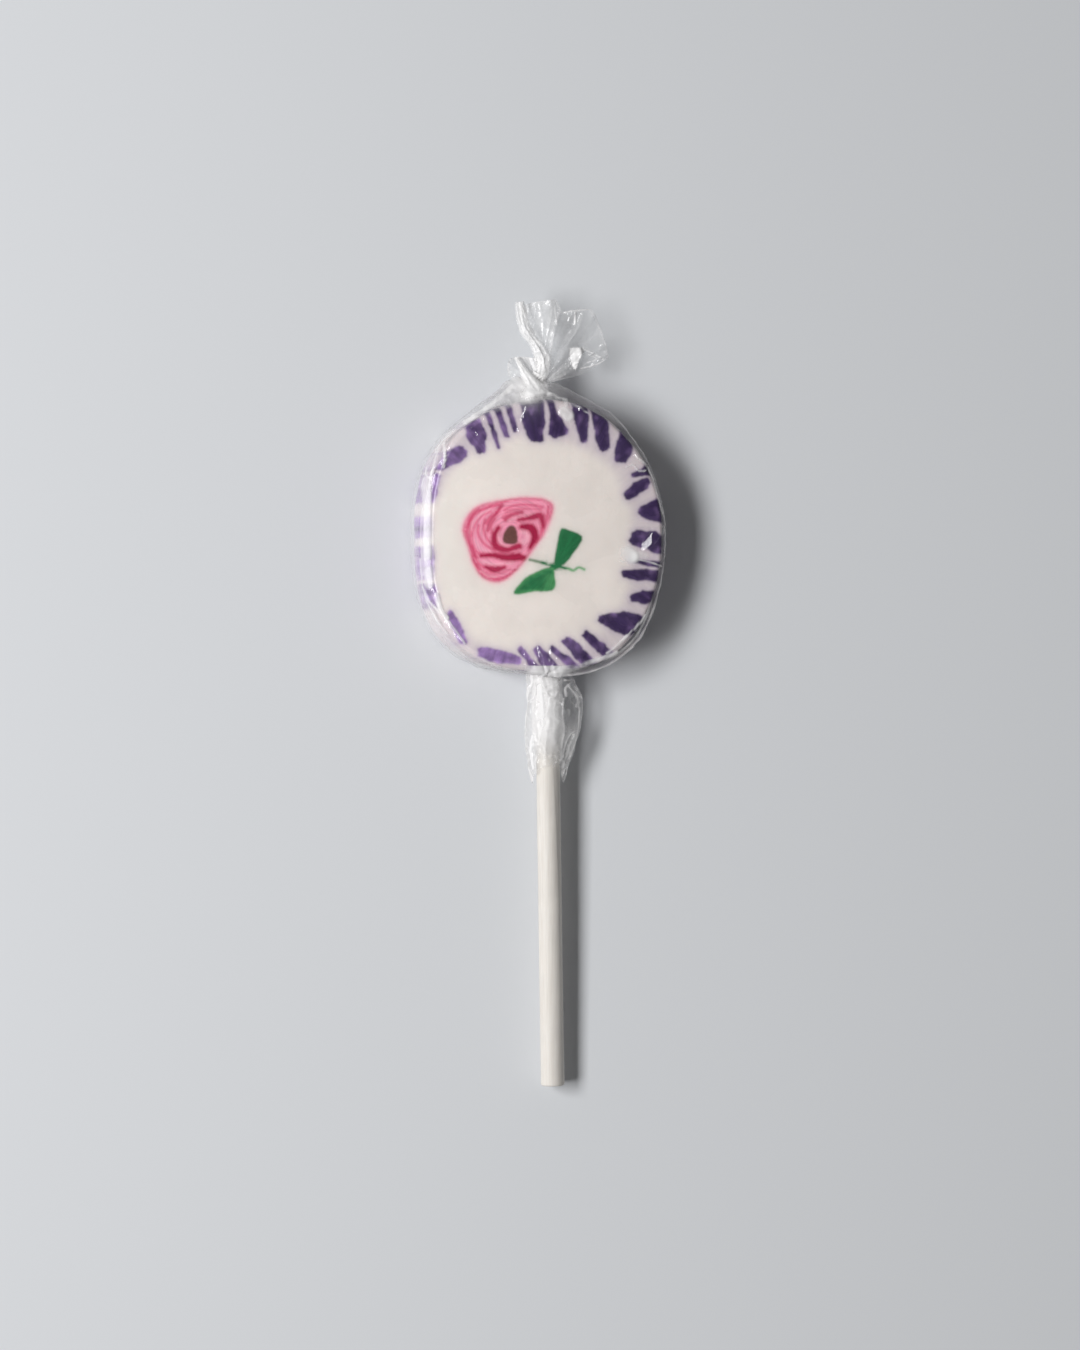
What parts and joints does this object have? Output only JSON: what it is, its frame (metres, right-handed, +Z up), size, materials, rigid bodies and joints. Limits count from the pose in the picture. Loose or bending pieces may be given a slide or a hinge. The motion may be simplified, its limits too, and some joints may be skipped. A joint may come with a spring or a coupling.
{
  "type": "wrapped rock candy lollipop",
  "caption": "Flat disc of boiled sugar with a rose and a striped rim running through it, on a rolled paper stick, in clear twisted film.",
  "frame": {"origin": "on the floor under the middle of the whole part's box, as it lies on its back", "axes": "+Z up out of the candy's shown face, +Y along the stick from its free end to the candy, +X to the right as seen in the picture"},
  "size_m": [0.0428, 0.1316, 0.0112],
  "materials": {
    "white_sugar": "smooth, slightly glossy, faintly translucent boiled sugar",
    "purple_sugar": "smooth boiled sugar, deep purple to lavender where thin",
    "pink_sugar": "smooth boiled sugar, soft at its edges",
    "crimson_sugar": "smooth boiled sugar",
    "brown_sugar": "smooth boiled sugar",
    "green_sugar": "smooth boiled sugar",
    "white_paper": "matt rolled paper",
    "clear_film": "thin clear crumpled film, glossy"
  },
  "bodies": {
    "root": {"candy_core": "white_sugar", "stripe_01": "purple_sugar", "stripe_02": "purple_sugar", "stripe_03": "purple_sugar", "stripe_04": "purple_sugar", "stripe_05": "purple_sugar", "stripe_06": "purple_sugar", "stripe_07": "purple_sugar", "stripe_08": "purple_sugar", "stripe_09": "purple_sugar", "stripe_10": "purple_sugar", "stripe_11": "purple_sugar", "stripe_12": "purple_sugar", "stripe_13": "purple_sugar", "stripe_14": "purple_sugar", "stripe_15": "purple_sugar", "stripe_16": "purple_sugar", "stripe_17": "purple_sugar", "stripe_18": "purple_sugar", "stripe_19": "purple_sugar", "stripe_20": "purple_sugar", "stripe_21": "purple_sugar", "stripe_22": "purple_sugar", "stripe_23": "purple_sugar", "stripe_24": "purple_sugar", "stripe_25": "purple_sugar", "stripe_26": "purple_sugar", "stripe_27": "purple_sugar", "stripe_28": "purple_sugar", "stripe_29": "purple_sugar", "rose_petals": "pink_sugar", "rose_fold_1": "crimson_sugar", "rose_fold_2": "crimson_sugar", "rose_fold_3": "crimson_sugar", "rose_fold_4": "crimson_sugar", "rose_fold_5": "crimson_sugar", "rose_fold_6": "crimson_sugar", "rose_fold_7": "crimson_sugar", "rose_fold_8": "crimson_sugar", "rose_heart": "brown_sugar", "leaf_upper": "green_sugar", "leaf_lower": "green_sugar", "stem": "green_sugar", "tendril": "green_sugar", "stick": "white_paper", "wrapper": "clear_film"}
  },
  "joints": []
}
